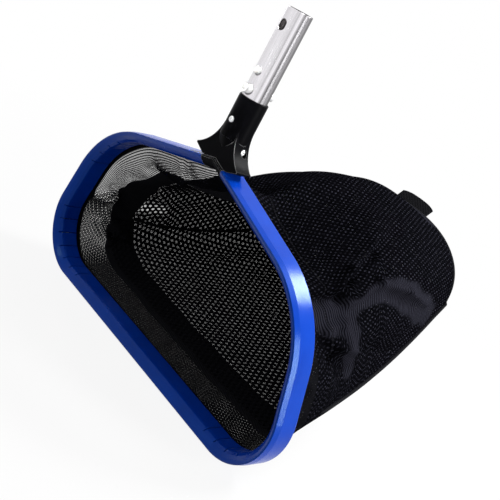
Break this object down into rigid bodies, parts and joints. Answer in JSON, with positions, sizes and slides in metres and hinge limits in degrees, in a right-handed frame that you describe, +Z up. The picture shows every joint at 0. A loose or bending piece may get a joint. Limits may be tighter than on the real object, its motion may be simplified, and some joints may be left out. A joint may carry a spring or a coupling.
{
  "type": "leaf skimmer net",
  "caption": "Deep mesh bag on a wide rounded hoop with a slim front edge, held by a flared yoke on a short handle tube with a spring clip that locks into a telescopic pole.",
  "frame": {"origin": "where the handle tube's axis crosses the axis of its cross hole", "axes": "+Z up the handle tube to its open end, X along the hoop's width, the mouth of the bag faces -Y and the bag runs back to +Y"},
  "size_m": [0.479, 0.3933, 0.4342],
  "materials": {
    "blue_plastic": "satin",
    "black_plastic": "satin",
    "white_plastic": "gloss",
    "aluminium": "bright drawn",
    "core_aluminium": "mill",
    "steel": "bright",
    "fine_mesh": "fine woven mesh",
    "coarse_net": "knitted net",
    "black_tape": "woven tape"
  },
  "bodies": {
    "net": {"rim": "blue_plastic", "hoop_core": "core_aluminium", "mouth_bead": "black_tape", "yoke": "black_plastic", "handle_tube": "aluminium", "tube_bolt": "steel", "tube_nut": "steel", "side_screws": "steel", "clip_bend": "white_plastic", "cuff": "fine_mesh", "seam_tape": "black_tape", "top_panel": "fine_mesh", "bottom_panel": "fine_mesh", "inner_net_top": "coarse_net", "inner_net_bottom": "coarse_net", "edge_binding": "black_tape", "pull_tab": "black_tape"},
    "front_arm": {"front_clip_arm": "white_plastic"},
    "rear_arm": {"rear_clip_arm": "white_plastic"}
  },
  "joints": [
    {"name": "front_clip_squeeze", "type": "hinge", "parent": "net", "child": "front_arm", "pos_m": [0, -0.008, -0.0286], "axis": [1, 0, 0], "range_deg": [0, 7], "stiffness_Nm_per_rad": 0.35, "springref_deg": -8.59},
    {"name": "rear_clip_squeeze", "type": "hinge", "parent": "net", "child": "rear_arm", "pos_m": [0, 0.008, -0.0286], "axis": [-1, 0, 0], "range_deg": [0, 7], "stiffness_Nm_per_rad": 0.35, "springref_deg": -8.59}
  ]
}
